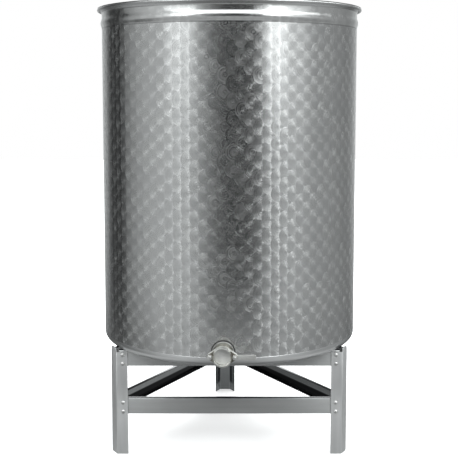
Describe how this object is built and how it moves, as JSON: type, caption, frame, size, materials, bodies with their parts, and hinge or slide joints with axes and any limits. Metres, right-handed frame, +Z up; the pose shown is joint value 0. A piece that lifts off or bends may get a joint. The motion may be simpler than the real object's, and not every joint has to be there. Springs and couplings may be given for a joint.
{
  "type": "vertical storage tank",
  "caption": "Upright cylindrical tank of marbled steel with a rolled rim, loose lid and swinging gate valve, on a bolted three-legged channel stand.",
  "frame": {"origin": "on the floor under the middle of the whole object's plan", "axes": "+Z up, -Y towards the side with the valve, +X to the right seen from the valve side"},
  "size_m": [0.828, 0.8764, 1.4119],
  "materials": {
    "marbled_steel": "circle-polished stainless steel",
    "smooth_steel": "smooth satin stainless steel",
    "valve_steel": "machined stainless steel",
    "blade_steel": "turned face",
    "bolt_steel": "bright fasteners",
    "stand_steel": "dull satin sheet",
    "black_rubber": "matt",
    "grey_plastic": "matt moulded"
  },
  "bodies": {
    "tank": {"tank_shell": "marbled_steel", "tank_bottom": "smooth_steel", "outlet_spigot": "valve_steel", "outer_gasket": "black_rubber", "inner_washer": "black_rubber", "ring_nut": "valve_steel", "lock_nut": "valve_steel", "valve_neck": "valve_steel", "front_plate": "valve_steel", "pivot_bolt": "bolt_steel", "pivot_nut": "bolt_steel", "clamp_bolt": "bolt_steel", "clamp_nut": "bolt_steel", "leg_front_left": "stand_steel", "leg_front_right": "stand_steel", "leg_back": "stand_steel", "upper_rail_front": "stand_steel", "upper_rail_left": "stand_steel", "upper_rail_right": "stand_steel", "lower_rail_front": "stand_steel", "lower_rail_left": "stand_steel", "lower_rail_right": "stand_steel"},
    "lid": {"lid": "marbled_steel", "lid_knob": "grey_plastic"},
    "gate": {"gate_blade": "blade_steel"}
  },
  "joints": [
    {"name": "lid_lift", "type": "slide", "parent": "tank", "child": "lid", "axis": [0, 0, 1], "range_m": [0, 0.15]},
    {"name": "gate_turn", "type": "hinge", "parent": "tank", "child": "gate", "pos_m": [0.01704, -0.37656, 0.3695], "axis": [0.0436, 0.999, 0], "range_deg": [0, 85]}
  ]
}
